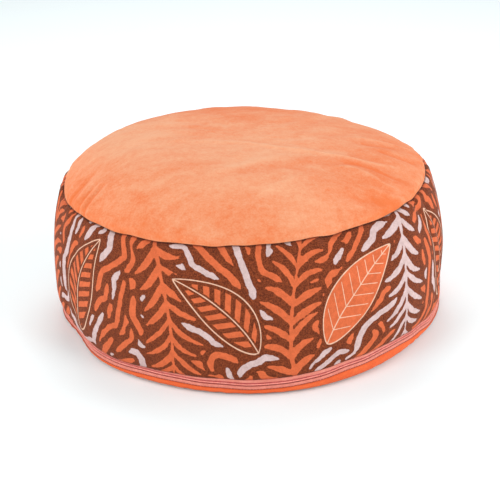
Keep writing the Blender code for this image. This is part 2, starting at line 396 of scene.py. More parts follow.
def pressed_out():
    """How far the filling presses the crown and the band out, for each of the cage's points."""
    crown, seam, band, foot = cage_profiles()
    points = settled(np.concatenate([crown, seam, band, foot]), CAGE_ROUND)
    cage = skin("cage", points)
    pinned = [len(crown)] + list(range(len(crown) + 1 + len(band), len(points)))
    group = cage.vertex_groups.new(name="stitched")
    held = [row * CAGE_ROUND + column for row in pinned for column in range(CAGE_ROUND)]
    group.add(held + [len(cage.data.vertices) - 1], 1.0, "REPLACE")
    cloth = cage.modifiers.new("filling", "CLOTH")
    for setting, value in MICROSUEDE.items():
        setattr(cloth.settings, setting, value)
    cloth.settings.effector_weights.gravity = 0
    cloth.collision_settings.use_collision = False
    scene = bpy.context.scene
    scene.frame_start, scene.frame_end = 1, FRAMES
    cloth.point_cache.frame_start, cloth.point_cache.frame_end = 1, FRAMES
    for step in range(1, FRAMES + 1):
        scene.frame_set(step)
    pressed = cage.evaluated_get(bpy.context.evaluated_depsgraph_get()).data
    ends = np.zeros(len(pressed.vertices) * 3)
    pressed.vertices.foreach_get("co", ends)
    moved = ends.reshape(-1, 3)[: points.shape[0] * CAGE_ROUND].reshape(points.shape) - points
    out = (moved * outward(points)).sum(axis=2)
    print(f"the cover swells {out.mean() * 1000:.1f} mm on average")
    out = out - out.mean(axis=1, keepdims=True)
    bpy.data.meshes.remove(cage.data)  # this takes the object with it
    scene.frame_set(1)
    return {
        "crown": (np.append(crown[:, 0], SEAM_RADIUS), out[: len(crown) + 1]),
        "band": (np.append(band[::-1, 1], SEAM_HEIGHT), out[len(crown): len(crown) + 1 + len(band)][::-1]),
    }


def spread_round(values, count):
    """A closed round of values, made finer without losing its waves."""
    return np.fft.irfft(np.fft.rfft(values, axis=1), n=count, axis=1) * count / values.shape[1]


def press(panel, places):
    """The pressing-out of one panel at these radii or heights, all the way round."""
    if PRESSED is None:
        return np.zeros((len(places), ROUND))
    marks, values = PRESSED[panel]
    fine = MOST_MOVE * np.tanh(SHARES_KEPT[panel] * spread_round(values, ROUND) / MOST_MOVE)
    return np.stack([np.interp(places, marks, fine[:, column]) for column in range(ROUND)], axis=1)


PRESSED = pressed_out()

# %% [markdown]
# Puckers and slackness
#
# Where a curved edge is gathered into a straight seam, the cloth puckers: short ridges square to the seam
# that die out within a centimetre or two. A closed random curve round the cushion, its waves chosen with a
# fixed seed, gives ridges of uneven width, and a second, slow one lets some stretches be tighter.

# %% Puckers and lumps
STITCH_HOLD = 0.0012  # so near a seam the stitches hold the cloth flat
LUMP_WAVES = 26


def puckers(distance, reach, depth, fewest, most, seed):
    """Ridges square to a seam that is this far away, for rows of distances."""
    slack = smooth(0.5 + 0.35 * curve_round(fewest=2, most=7, seed=seed + 100))
    fade = np.exp(-distance / reach) * (1 - bell(distance, STITCH_HOLD))
    return depth * fade[:, None] * (slack * curve_round(fewest, most, seed))[None, :]


def lumps(down, depth, size, seed):
    """Soft, broad unevenness from husks behind the cloth: rows of distances down the panel."""
    random = np.random.default_rng(seed)
    angle = angles_round(ROUND)[None, :]
    total = np.zeros((len(down), ROUND))
    for _ in range(LUMP_WAVES):
        times = random.integers(3, int(AROUND / size))
        lean = random.uniform(0.4, 1.0) * random.choice((-1, 1)) / size
        phase = random.uniform(0, 2 * math.pi)
        total += np.cos(times * angle + lean * down[:, None] * 2 * math.pi + phase)
    return depth * total / total.std()


# %% [markdown]
# The top's creases
#
# Slack suede gathers in long, soft ridges and troughs. They aren't straight, so each is a short list of
# places that it passes through, in metres from the middle, with a smooth curve through them. How far a point
# is from that curve gives the ridge's height there. A trough is a ridge with a rise below 0.

# %% Ridges and troughs
TOP_RIDGES = (  # rise, half width, path
    (0.0011, 0.0029, (
        (-0.090, -0.012), (-0.040, -0.015), (-0.004, -0.020), (0.034, -0.036), (0.066, -0.044),
        (0.097, -0.048), (0.117, -0.046), (0.130, -0.045), (0.150, -0.047),
    )),
    (-0.0005, 0.0050, ((0.030, -0.076), (0.048, -0.070), (0.065, -0.064), (0.086, -0.058), (0.104, -0.058))),
    (-0.0014, 0.0044, ((0.076, -0.058), (0.090, -0.057), (0.104, -0.058), (0.120, -0.061), (0.145, -0.066))),
    (0.0011, 0.0027, ((0.066, -0.068), (0.088, -0.068), (0.104, -0.074), (0.118, -0.081), (0.138, -0.083))),
    (0.0009, 0.0028, ((0.092, -0.090), (0.108, -0.092), (0.122, -0.092), (0.142, -0.088))),
    (0.0009, 0.0030, ((0.084, 0.005), (0.113, 0.009), (0.131, 0.014), (0.145, 0.018), (0.164, 0.024))),
    (-0.0013, 0.0046, ((0.112, -0.018), (0.127, -0.018), (0.143, -0.018), (0.162, -0.016))),
    (-0.0009, 0.0045, ((0.096, -0.009), (0.112, -0.005), (0.124, -0.001), (0.142, 0.005))),
    (-0.0009, 0.0040, ((0.090, -0.116), (0.104, -0.107), (0.118, -0.103), (0.134, -0.096))),
    (-0.0006, 0.0055, ((0.060, -0.112), (0.077, -0.111), (0.100, -0.108))),
    (0.0007, 0.0055, (
        (-0.043, -0.100), (-0.027, -0.091), (-0.006, -0.078), (0.020, -0.060), (0.051, -0.053),
    )),
    (-0.0006, 0.0070, ((-0.030, -0.106), (0.000, -0.090), (0.030, -0.078), (0.060, -0.075))),
    (0.0006, 0.0050, ((0.000, -0.126), (0.024, -0.112), (0.041, -0.098), (0.064, -0.088))),
    (0.0008, 0.0045, ((0.060, 0.070), (0.084, 0.088), (0.100, 0.104))),
    (0.0007, 0.0052, ((-0.088, 0.040), (-0.110, 0.052), (-0.132, 0.058))),
)
RIDGE_FADE = 0.25  # the share of its way over which a ridge rises, and falls again


print(f"{len(TOP_RIDGES)} ridges and troughs on the top")


def curve_through(points, per_span=8):
    """A smooth curve through some points: a Catmull-Rom spline."""
    known = np.array(points, dtype=float)
    padded = np.vstack([2 * known[0] - known[1], known, 2 * known[-1] - known[-2]])
    t = np.linspace(0, 1, per_span, endpoint=False)[:, None]
    spans = []
    for a, b, c, d in zip(padded, padded[1:], padded[2:], padded[3:]):
        spans.append(b + t / 2 * (c - a + t * (2 * a - 5 * b + 4 * c - d + t * (3 * b - a - 3 * c + d))))
    return np.vstack(spans + [known[-1:]])


def beside(x, y, curve):
    """How far each place is from a curve, and its share of the way along."""
    nearest, share = np.full(x.shape, np.inf), np.zeros(x.shape)
    for index, (a, b) in enumerate(zip(curve, curve[1:])):
        run = b - a
        t = ((x - a[0]) * run[0] + (y - a[1]) * run[1]) / (run @ run)
        held = np.clip(t, 0, 1)
        away = np.hypot(x - a[0] - held * run[0], y - a[1] - held * run[1])
        closer = away < nearest
        nearest = np.where(closer, away, nearest)
        share = np.where(closer, (index + t) / (len(curve) - 1), share)
    return nearest, share


def ridge_height(x, y):
    """The ridges' height at each place, below 0 in the troughs."""
    height = 0.0
    for rise, half_width, path in TOP_RIDGES:
        side, share = beside(x, y, curve_through(path))
        fade = smooth(share / RIDGE_FADE) * smooth((1 - share) / RIDGE_FADE)
        height = height + rise * fade * bell(side, half_width)
    return height


# %% [markdown]
# The top panel
#
# A round of plain suede over the filling: level in the middle, with full shoulders that roll down into the
# seam. A subdivided cage would lose the small roll, so the rows lie 0.3 mm apart at the seam and 2 mm apart
# in the middle. Each point also keeps a value for its finish, partly wear and partly painted light: paler
# along a crest and round the middle, where suede is worn and as a painted highlight, and deeper in a trough
# and by the seam, as painted shade. A few broad patches are paler or deeper, partly the nap and partly
# painted light and shade.

# %% Top panel
FINE_CREASES = (  # as TOP_CREASES
    (-159.0, 0.0030, 0.0012, 0.136, 0.172),
    (-154.5, 0.0026, -0.0011, 0.138, 0.172),
    (-151.5, 0.0024, 0.0013, 0.140, 0.172),
    (-149.4, 0.0022, -0.0010, 0.136, 0.172),
    (-147.4, 0.0022, 0.0012, 0.140, 0.172),
    (-145.4, 0.0024, -0.0010, 0.134, 0.172),
    (-44, 0.0034, 0.0008, 0.140, 0.170),
    (20, 0.0030, 0.0006, 0.140, 0.170),
    (121, 0.0034, 0.0007, 0.136, 0.170),
)
EDGE_REACH = 0.002  # the relief grows from nothing over this much by a seam
CALM_MIDDLE = 0.05  # and the lumps over this much round the pole
FIRST_ROW = 0.0015  # the radius of the row round the pole
# Crests and puckers are paler and troughs deeper, by their height: wear, plus painted highlight and shade.
RELIEF_WEAR_AND_PAINTED_LIGHT = 110.0  # for each metre that it stands up
PUCKER_WEAR_AND_PAINTED_LIGHT = 66.0
# Painted shade on the shoulder: deepest at the seam, fading inwards.
PAINTED_SHADE_BY_SEAM = 0.11
PAINTED_SHADE_REACH = 0.013
# Partly the nap and partly painted light: paler round the middle, deeper at the back.
NAP_AND_PAINTED_LIGHT_PATCHES = (  # x, y, reach, how much paler
    (0.000, -0.055, 0.060, 0.07),
    (-0.110, 0.010, 0.046, 0.14),
    (0.118, -0.060, 0.042, -0.08),
    (0.100, -0.112, 0.036, -0.08),
    (-0.095, -0.128, 0.048, -0.07),
    (-0.152, -0.066, 0.026, -0.16),
    (0.000, 0.125, 0.070, -0.20),
    (0.130, 0.010, 0.035, -0.06),
)


def nap_and_painted_light(x, y):
    """Broad patches, paler or deeper: partly the nap, partly painted light and shade."""
    return sum(paler * bell(np.hypot(x - at_x, y - at_y), reach) for at_x, at_y, reach, paler in NAP_AND_PAINTED_LIGHT_PATCHES)


def raised(points, relief, share):
    """The points, moved outwards by the relief, of which each row takes its share."""
    return points + outward(points) * (relief * share[:, None])[:, :, None]


def top_panel():
    inset = spaced(SEAM_RADIUS - FIRST_ROW, fine=0.0003, coarse=0.0020)[::-1]
    radius = SEAM_RADIUS - inset
    face = tucked(radius, crown_height(radius), inset / math.cos(SEAM_LEAN))
    profile = np.stack(face, axis=1)
    points = settled(profile)
    angle = angles_round(ROUND)[None, :] + 0 * radius[:, None]
    ridges = ridge_height(points[..., 0], points[..., 1])
    puckered = puckers(inset, reach=0.011, depth=0.00040, fewest=34, most=84, seed=3)
    puckered = puckered - crease_depth(radius[:, None], angle, FINE_CREASES)
    relief = press("crown", radius) + ridges + puckered
    relief += lumps(radius, depth=0.00024, size=0.045, seed=4) * smooth(radius / CALM_MIDDLE)[:, None]
    points = raised(points, relief, smooth(inset / EDGE_REACH))
    below = profile[-1][1] + GAP / 2
    underside = settled([(profile[-1][0], below), (SEAM_RADIUS / 2, below)])
    piece = skin("top", np.concatenate([points[:-1], underside]))
    # Wear and painted light: paler on crests, deeper in troughs, plus the broad patches.
    wear_and_painted_light = RELIEF_WEAR_AND_PAINTED_LIGHT * ridges + PUCKER_WEAR_AND_PAINTED_LIGHT * puckered + nap_and_painted_light(points[..., 0], points[..., 1])
    # Painted shade, deeper towards the seam.
    wear_and_painted_light -= PAINTED_SHADE_BY_SEAM * np.exp(-inset / PAINTED_SHADE_REACH)[:, None]
    keep(piece, "wear_and_painted_light", wear_and_painted_light[:-1])
    return piece


top = top_panel()

# %% [markdown]
# The side band
#
# A long strip of printed suede, bulged by the filling and held by two seams. Its upright folds are pleats
# that formed where the strip was longer than its place. Each is narrow and deep where the solid has only a
# soft trough. Its foot hangs over the zip's tape in three places, the rows of BAND_OVERLAPS.

# %% Side band
FINE_FOLDS = (  # as BAND_FOLDS
    (-29.5, -11.0, 1.0, 0.0016),
    (-24.5, -5.0, 1.2, 0.0016),
    (-34.0, -24.0, 1.5, 0.0006),
    (-151.0, -157.0, 1.4, 0.0012),
    (-147.0, -150.0, 1.2, 0.0008),
    (110.0, 103.0, 1.8, 0.0010),
    (40.0, 47.0, 1.8, 0.0010),
)


def side_band():
    drop = spaced_both(SEAM_HEIGHT - ZIP_HEAD, fine=0.0003, coarse=0.0014)
    height = SEAM_HEIGHT - drop
    radius = band_radius(height)
    face_radius, face_height = tucked(radius, height, drop)
    foot = bell(height - ZIP_HEAD, STITCH_HOLD)
    profile = np.stack([face_radius - TAPE_THICKNESS / 2 * foot, face_height], axis=1)
    points = settled(profile)
    angle = angles_round(ROUND)[None, :] + 0 * height[:, None]
    climb = ((height - ZIP_HEAD) / (SEAM_HEIGHT - ZIP_HEAD))[:, None]
    relief = press("band", height) - fold_depth(angle, climb, FINE_FOLDS)
    relief += puckers(drop, reach=0.012, depth=0.00035, fewest=45, most=110, seed=5)
    relief += puckers(height - ZIP_HEAD, reach=0.009, depth=0.00028, fewest=50, most=120, seed=6)
    relief += lumps(drop, depth=0.00028, size=0.050, seed=7)
    points = raised(points, relief, smooth(drop / EDGE_REACH) * smooth((height - ZIP_HEAD) / EDGE_REACH))
    edge, level = profile[0][0], profile[0][1] - GAP / 2
    lid = settled([(SEAM_RADIUS / 2, level), (edge, level)])
    floor = settled([(ZIP_RADIUS / 2, ZIP_HEAD)])
    return skin("band", np.concatenate([lid, points[1:], floor])), drop


band, band_drop = side_band()

# %% [markdown]
# The base panel
#
# Only a narrow roll of it shows, between the zip and the floor. It is flat where it rests, and dimpled where
# the gathered edge meets the zip. Its last two millimetres above the floor get a painted shade, for the
# shadow where it meets the floor, so each point keeps how near the floor it is, for the finish.

# %% Base panel
ROLL = (  # share of the way up to the zip, how far out from ZIP_RADIUS
    (0.00, -0.0110), (0.05, -0.0080), (0.11, -0.0056), (0.18, -0.0036), (0.26, -0.0020), (0.35, -0.0009),
    (0.47, -0.0001), (0.64, 0.0004), (0.84, 0.0003), (1.00, -0.0008),
)
REST_RADIUS = ZIP_RADIUS + ROLL[0][1]
FLOOR_SHADE_REACH = 0.0020
FLOOR_SHADE_IN = 0.012  # under the cushion, the shade ends so far in
PUCKERS_FROM_FLOOR = 0.3  # the share of the roll over which its puckers grow


def base_panel():
    share = 1 - np.sin(np.linspace(0, math.pi / 2, 18))
    out = np.interp(share, *np.array(ROLL).T)
    profile = np.stack([ZIP_RADIUS + out, ZIP_FOOT * share], axis=1)
    points = settled(profile)
    relief = puckers((1 - share) * ZIP_FOOT, reach=0.006, depth=0.00030, fewest=50, most=110, seed=8)
    points = raised(points, relief, smooth(share / PUCKERS_FROM_FLOOR))
    points[..., 2] = np.maximum(points[..., 2], 0.0)
    step, lid = ZIP_RADIUS - TAPE_THICKNESS - GAP, ZIP_HEAD - GAP
    inner = settled([(step / 2, lid), (step, lid), (step, ZIP_FOOT)])
    flat = settled([(REST_RADIUS * 0.97, 0.0), (REST_RADIUS * 0.5, 0.0)])
    piece = skin("base", np.concatenate([inner, points, flat]))
    x, y, z = np.array([vertex.co for vertex in piece.data.vertices]).T
    # A painted shade for the shadow at the floor: darkest at the floor, fading over about 2 mm up and 12 mm
    # in.
    outer = smooth((np.hypot(x, y) - REST_RADIUS + FLOOR_SHADE_IN) / FLOOR_SHADE_IN)
    keep(piece, "painted_floor_shade", bell(z, FLOOR_SHADE_REACH) * outer)
    return piece


base = base_panel()

# %% [markdown]
# The zip's tapes
#
# Each tape is a woven ribbon, sewn to its panel, with a soft rounded face. A ribbon that runs all round is a
# closed section carried round the ring, so it is a skin with no poles.

# %% Zip tapes
TAPE_ROUNDING = 0.00035
TAPE_SQUARENESS = 0.6  # below 1 the face is flatter and its edges are squarer


def zip_tape(name, middle):
    """A ribbon, from its closed section: down its face and back up behind."""
    turn = np.linspace(math.pi / 2, -math.pi / 2, 9)
    face = ZIP_RADIUS - TAPE_ROUNDING + TAPE_ROUNDING * np.cos(turn) ** TAPE_SQUARENESS
    height = middle + TAPE_WIDTH / 2 * np.sin(turn)
    back = ZIP_RADIUS - TAPE_THICKNESS
    section = [(back, middle + TAPE_WIDTH / 2), *zip(face, height), (back, middle - TAPE_WIDTH / 2)]
    return skin(name, settled(section), ring=True)


ASIDE = COIL_WIDTH / 2 + GAP + TAPE_WIDTH / 2
tape_upper = zip_tape("tape_upper", ZIP_HEIGHT + ASIDE)
tape_lower = zip_tape("tape_lower", ZIP_HEIGHT - ASIDE)

# %% [markdown]
# What repeats along a seam
#
# A closed coil is hundreds of small nylon loops, and a row of stitches is the same idea: one short arch of
# thread, repeated along a ring. One Geometry Nodes tree does both. It takes a guide ring, sets so many points
# on it, stands an arch on each with its back outwards, turns it along or across the seam, and makes it real.
# Building a tree in a script is mostly adding a node and filling its inputs, so a small class shortens that.

# %% Nodes in short
class Nodes:
    """A node tree, with short ways to add a node and fill its inputs."""

    def __init__(self, tree):
        self.tree = tree

    def give(self, node, key, value):
        """Fills an input, given by name or number: an output is linked in, and a plain value is set."""
        if isinstance(value, bpy.types.NodeSocket):
            self.tree.links.new(value, node.inputs[key])
        else:
            node.inputs[key].default_value = value

    def node(self, kind, inputs=(), **settings):
        node = self.tree.nodes.new(kind)
        for key, value in settings.items():
            setattr(node, key, value)
        for key, value in dict(inputs).items():
            self.give(node, key, value)
        return node

    def out(self, kind, inputs=(), which=0, **settings):
        """Adds a node and gives one of its outputs, ready for the next node."""
        return self.node(kind, inputs, **settings).outputs[which]

    def math(self, operation, a, b=0.0, c=0.0):
        return self.out("ShaderNodeMath", {0: a, 1: b, 2: c}, operation=operation)

    plus = partialmethod(math, "ADD")
    less = partialmethod(math, "SUBTRACT")
    times = partialmethod(math, "MULTIPLY")
    size_of = partialmethod(math, "ABSOLUTE")


# %% A tree of arches along a guide
ARCH_SOCKETS = {
    "Guide": "Geometry", "Count": "Int", "Length": "Float", "Rise": "Float", "Thickness": "Float",
    "Turn": "Float", "Jitter": "Float", "Seed": "Int", "Material": "Material",
}
ARCH_STEPS = 6  # spans along an arch, and sides round its thread


def arch_tree():
    """The tree, and its inputs' identifiers."""
    tree = bpy.data.node_groups.new("arches along a seam", "GeometryNodeTree")
    add = tree.interface.new_socket
    add(name="Geometry", in_out="OUTPUT", socket_type="NodeSocketGeometry")
    inputs = {
        name.lower(): add(name=name, in_out="INPUT", socket_type="NodeSocket" + kind).identifier
        for name, kind in ARCH_SOCKETS.items()
    }
    nodes = Nodes(tree)
    out, times = nodes.out, nodes.times
    given = nodes.node("NodeGroupInput").outputs
    # points along the guide
    ring = out("GeometryNodeMeshToCurve", {"Mesh": given["Guide"]})
    along = {"Curve": ring, "Count": given["Count"]}
    spots = nodes.node("GeometryNodeCurveToPoints", along, mode="COUNT").outputs
    # each stands outwards, along the seam
    place = out("GeometryNodeInputPosition")
    flat = out("ShaderNodeVectorMath", {0: place, 1: (1, 1, 0)}, operation="MULTIPLY")
    away = out("ShaderNodeVectorMath", {0: flat}, operation="NORMALIZE")
    axes = {0: away, 1: spots["Tangent"]}
    stand = out("FunctionNodeAxesToRotation", axes, primary_axis="Z", secondary_axis="X")
    lowest, highest, single = 2, 3, 1  # the random node's sockets for single numbers
    random = out("FunctionNodeRandomValue", {lowest: -1.0, highest: 1.0, "Seed": given["Seed"]}, single)
    turned = nodes.plus(times(random, given["Jitter"]), given["Turn"])
    about = out("FunctionNodeAxisAngleToRotation", {"Axis": (0, 0, 1), "Angle": turned})
    spin = out("FunctionNodeRotateRotation", {0: stand, 1: about}, rotation_space="LOCAL")
    # one arch of thread
    start, end = (out("ShaderNodeCombineXYZ", {"X": times(given["Length"], side)}) for side in (-0.5, 0.5))
    peak = out("ShaderNodeCombineXYZ", {"Z": times(given["Rise"], 2.0)})
    bend = {"Resolution": ARCH_STEPS, "Start": start, "Middle": peak, "End": end}
    arch = out("GeometryNodeCurveQuadraticBezier", bend)
    thread = out("GeometryNodeCurvePrimitiveCircle", {"Resolution": ARCH_STEPS, "Radius": given["Thickness"]})
    tube = out("GeometryNodeCurveToMesh", {"Curve": arch, "Profile Curve": thread, "Fill Caps": True})
    # set the arches on the points and make them real
    on = {"Points": spots["Points"], "Instance": tube, "Rotation": spin}
    real = out("GeometryNodeRealizeInstances", {0: out("GeometryNodeInstanceOnPoints", on)})
    paint = out("GeometryNodeSetMaterial", {"Geometry": real, "Material": given["Material"]})
    nodes.node("NodeGroupOutput", {0: paint})
    return tree, inputs


ARCHES, ARCH_INPUTS = arch_tree()


def arches(name, radius, height, pitch, **sizes):
    """A row of arches of thread round the cushion, as one plain mesh."""
    points = settled([(radius, height)])[0]
    mesh = bpy.data.meshes.new("guide")
    mesh.from_pydata(points.tolist(), [(i, (i + 1) % ROUND) for i in range(ROUND)], [])
    length = np.linalg.norm(np.roll(points, -1, axis=0) - points, axis=1).sum()
    piece = placed(name, mesh)
    repeat = piece.modifiers.new("arches", "NODES")
    repeat.node_group = ARCHES
    for key, value in {"count": int(length / pitch), **sizes}.items():
        repeat[ARCH_INPUTS[key]] = value
    bpy.context.view_layer.update()
    evaluated = piece.evaluated_get(bpy.context.evaluated_depsgraph_get())
    made = bpy.data.meshes.new_from_object(evaluated)
    made.name = name
    piece.modifiers.clear()
    piece.data = made
    bpy.data.meshes.remove(mesh)
    made.shade_smooth()
    print(f"{name}: {int(length / pitch)} arches, {len(made.polygons)} faces")
    return piece


# %% [markdown]
# A kit for fabric finishes
#
# Every finish here is nodes, with no picture. Numbers that are the same all over go straight on the shader's
# own sockets.

# %% Finish kit
class Finish(Nodes):
    """One material, built up call by call."""

    def __init__(self, name, sockets):
        self.material = bpy.data.materials.new(name)
        self.material.use_nodes = True
        super().__init__(self.material.node_tree)
        self.shader = self.tree.nodes["Principled BSDF"]
        self.fill(sockets)
        self.place = self.out("ShaderNodeTexCoord", which="Object")

    def fill(self, sockets):
        for name, value in sockets.items():
            self.give(self.shader, name, value)

    def noise(self, size, detail=2.0, rough=0.5, warp=0.0, at=None):
        """Soft noise, its patches so many metres across."""
        inputs = {"Scale": 1 / size, "Detail": detail, "Roughness": rough, "Distortion": warp}
        return self.out("ShaderNodeTexNoise", {"Vector": self.place if at is None else at} | inputs)

    def stretched(self, turn, scale):
        """The same place, stretched along directions that are turned about +Z, for marks that run one way."""
        inputs = {"Vector": self.place, "Rotation": (0, 0, math.radians(turn)), "Scale": scale}
        return self.out("ShaderNodeMapping", inputs, vector_type="TEXTURE")

    def ramp(self, value, low, high):
        """0 below low and 1 above high, softly in between."""
        inputs = {"Value": value, "From Min": low, "From Max": high}
        return self.out("ShaderNodeMapRange", inputs, interpolation_type="SMOOTHSTEP")

    def mix(self, share, a, b, blend="MIX"):
        """Two colours mixed. The node has sockets for each kind of value, and 6, 7 and 2 are the colours'."""
        a, b = (colour if isinstance(colour, bpy.types.NodeSocket) else (*colour, 1.0) for colour in (a, b))
        return self.out("ShaderNodeMix", {0: share, 6: a, 7: b}, 2, data_type="RGBA", blend_type=blend)

    def shaded(self, colour, share, full, none=(1.0, 1.0, 1.0)):
        """A colour multiplied by one shade where the share is 1, and by another where it is 0."""
        return self.mix(1.0, colour, self.mix(share, none, full), blend="MULTIPLY")

    def value_of(self, name):
        """A value that the piece keeps for each of its points."""
        return self.out("ShaderNodeAttribute", which="Fac", attribute_name=name)

    def done(self, colour, *layers):
        """Sets the colour, and a bump from layers: a height from 0 to 1 and a depth in metres each."""
        bumped = {}
        for height, depth in layers:
            inputs = {"Height": height, "Distance": depth, "Strength": 1.0} | bumped
            bumped = {"Normal": self.out("ShaderNodeBump", inputs)}
        self.fill({"Base Color": colour} | bumped)
        print(f"{self.material.name}: {len(self.tree.nodes)} nodes")
        return self.material


# %% [markdown]
# Microsuede
#
# Microsuede is a fine brushed pile. Its fibres lie one way here and another there, so the same colour shows
# in lighter and darker patches, with faint brush marks. Where it is sat on and worn, round the middle and
# along the creases, it goes paler, and the top adds painted highlight and painted shade to that wear. Close
# to, it has a fine mottled grain. The shader's sheen gives the pale bloom that a pile has where it is seen
# edge-on. Noise at three sizes makes the lie and the grain, the top adds its kept value of wear and painted
# light, and the base gets a painted shade just above the floor.

# %% Suede finishes
LAYS = (  # how the pile lies: size, roughness, warp, stretch, weight
    (0.045, 0.55, 0.6, 1.5, 0.36),
    (0.014, 0.60, 0.3, 1.8, 0.36),
)
MOTTLE, MOTTLE_WEIGHT, MOTTLE_DEPTH = 0.0045, 0.28, 0.00030
GRAIN, GRAIN_WEIGHT, GRAIN_DEPTH = 0.0016, 0.28, 0.00016
WHERE_DARK, WHERE_LIGHT = 0.18, 0.78
# The painted shade's colour at the floor.
FLOOR_SHADE = (0.20, 0.17, 0.17)


def suede(name, light, dark, turn, bloom, worn=False, paint_floor_shade=False):
    """Plain suede: its pile lies lighter and darker in patches, and brushed marks run one way."""
    finish = Finish(name, {
        "Roughness": 0.9, "Sheen Weight": 0.12, "Sheen Roughness": 0.5, "Sheen Tint": (*bloom, 1.0),
        "Specular IOR Level": 0.2,
    })
    mottle = finish.noise(MOTTLE, 3.0, 0.65)
    grain = finish.noise(GRAIN, 2.0, 0.6)
    share = finish.times(mottle, MOTTLE_WEIGHT)
    for size, rough, warp, stretch, weight in LAYS:
        lie = finish.noise(size, 3.0, rough, warp, at=finish.stretched(turn, (stretch, 1.0, 1.0)))
        share = finish.math("MULTIPLY_ADD", lie, weight, share)
    # The top's kept value: wear, with painted highlight and painted shade.
    if worn:
        share = finish.plus(finish.value_of("wear_and_painted_light"), share)
    share = finish.math("MULTIPLY_ADD", finish.less(grain, 0.5), GRAIN_WEIGHT, share)
    colour = finish.mix(finish.ramp(share, WHERE_DARK, WHERE_LIGHT), dark, light)
    # Painted shade just above the floor.
    if paint_floor_shade:
        colour = finish.shaded(colour, finish.value_of("painted_floor_shade"), FLOOR_SHADE)
    return finish.done(colour, (mottle, MOTTLE_DEPTH), (grain, GRAIN_DEPTH))


top_suede = suede(
    "top_suede", light=(0.744, 0.370, 0.212), dark=(0.694, 0.158, 0.044), turn=12, bloom=(1.0, 0.72, 0.55),
    worn=True,
)
base_suede = suede(
    "base_suede", light=(0.750, 0.148, 0.046), dark=(0.655, 0.086, 0.020), turn=5, bloom=(1.0, 0.60, 0.40),
    paint_floor_shade=True,
)
top.data.materials.append(top_suede)
base.data.materials.append(base_suede)

# %% [markdown]
# Drawing the print
#
# The band is printed before it is sewn: fern fronds and broad leaves on brown, with loose brush strokes in
# the ground between them. A picture file would be the usual way. Here the strip is drawn in the script as
# distances: for each point of a fine raster, how far it is to the edge of the nearest printed shape, negative
# inside it. A distance stays smooth between points, so the edge stays sharp when the shader cuts it at zero.

# %% The strip of cloth
STRIP_LOW, STRIP_HIGH = -0.012, 0.138  # it goes on past both seams
RASTER = 0.0006
FAR = 0.014  # distances are kept up to here
FIELDS = {"orange": FAR, "lilac": FAR, "leaf": FAR, "side": FAR, "vein": 0.0, "barred": 0.0}


class Strip:
    """The flat strip before it is sewn. Across it, u is metres from the front's middle, and v metres up."""

    def __init__(self):
        self.columns = int(round(AROUND / RASTER))
        self.u = (np.arange(self.columns) + 0.5) * AROUND / self.columns - AROUND / 2
        self.v = np.arange(STRIP_LOW, STRIP_HIGH, RASTER)
        shape = (len(self.v), self.columns)
        self.fields = {name: np.full(shape, start) for name, start in FIELDS.items()}

    def near(self, points, reach):
        """The part of the raster round some points: its index, and its u and v."""
        low, high = points.min(axis=0) - reach, points.max(axis=0) + reach
        per_metre = self.columns / AROUND
        first = math.floor((low[0] + AROUND / 2) * per_metre)
        columns = np.arange(first, math.ceil((high[0] + AROUND / 2) * per_metre) + 1)
        u = (columns + 0.5) / per_metre - AROUND / 2
        found = np.nonzero((self.v >= low[1]) & (self.v <= high[1]))[0]
        return np.ix_(found, columns % self.columns), u[None, :], self.v[found][:, None]

    def room(self):
        """How far each point is from anything printed."""
        return np.minimum(np.minimum(self.fields["leaf"], self.fields["orange"]), self.fields["lilac"])

    def read(self, name, u, v):
        """One field at the places of a mesh's points, between the raster's own."""
        column = (u + AROUND / 2) / AROUND * self.columns - 0.5
        row = np.clip((v - STRIP_LOW) / RASTER, 0, len(self.v) - 1.001)
        left, low = np.floor(column).astype(int), np.floor(row).astype(int)
        aside, above = column - left, row - low
        total = 0.0
        for i, share in ((low, 1 - above), (low + 1, above)):
            for j, part in ((left, 1 - aside), (left + 1, aside)):
                total = total + self.fields[name][i, j % self.columns] * share * part
        return total


def stroke_distance(u, v, points, widths):
    """The distance to a brush stroke through these points, with a half width at each."""
    best = np.full(np.broadcast(u, v).shape, FAR)
    for (au, av), (bu, bv), wide_a, wide_b in zip(points[:-1], points[1:], widths[:-1], widths[1:]):
        du, dv = bu - au, bv - av
        t = np.clip(((u - au) * du + (v - av) * dv) / (du * du + dv * dv + NEVER_ZERO), 0, 1)
        away = np.hypot(u - au - t * du, v - av - t * dv) - (wide_a + (wide_b - wide_a) * t)
        best = np.minimum(best, away)
    return best


BARE = 0.0040  # ground left bare between strokes


def brush(strip, colour, points, widths, room=None):
    """Prints one stroke. Where a map of the room is given, it is kept clear of what the map saw."""
    at, u, v = strip.near(points, FAR)
    distance = stroke_distance(u, v, points, widths)
    if room is not None:
        distance = np.maximum(distance, BARE - room[at])
    field = strip.fields[colour]
    field[at] = np.minimum(field[at], distance)
    return at, distance


# %% [markdown]
# Broad leaves
#
# A leaf is a bent midrib with a width that swells and tapers along it. Besides the distance to its edge, it
# keeps two more fields: how far a point lies to the side of the midrib, and a count of its slanting veins.
# The shader draws the cream outline, midrib and veins from these, each a clean line of its own width.

# %% Leaves
LEAVES = (  # angle round, height of the middle, turn, length, width, bend, and 1 for bars or 0 for veins
    (-171, 0.060, 48, 0.098, 0.042, 0.009, 1),
    (-130, 0.058, 104, 0.094, 0.038, -0.009, 0),
    (-92, 0.059, 130, 0.096, 0.042, 0.009, 1),
    (-51, 0.060, 70, 0.100, 0.042, 0.011, 1),
    (-9, 0.057, 138, 0.094, 0.038, -0.010, 1),
    (32, 0.060, 44, 0.100, 0.042, 0.010, 0),
    (70, 0.058, 108, 0.094, 0.038, -0.009, 1),
    (110, 0.060, 62, 0.098, 0.042, 0.010, 0),
    (150, 0.058, 126, 0.094, 0.038, -0.009, 0),
)
VEIN_PITCH = 0.0108
VEIN_SLANT = 0.75


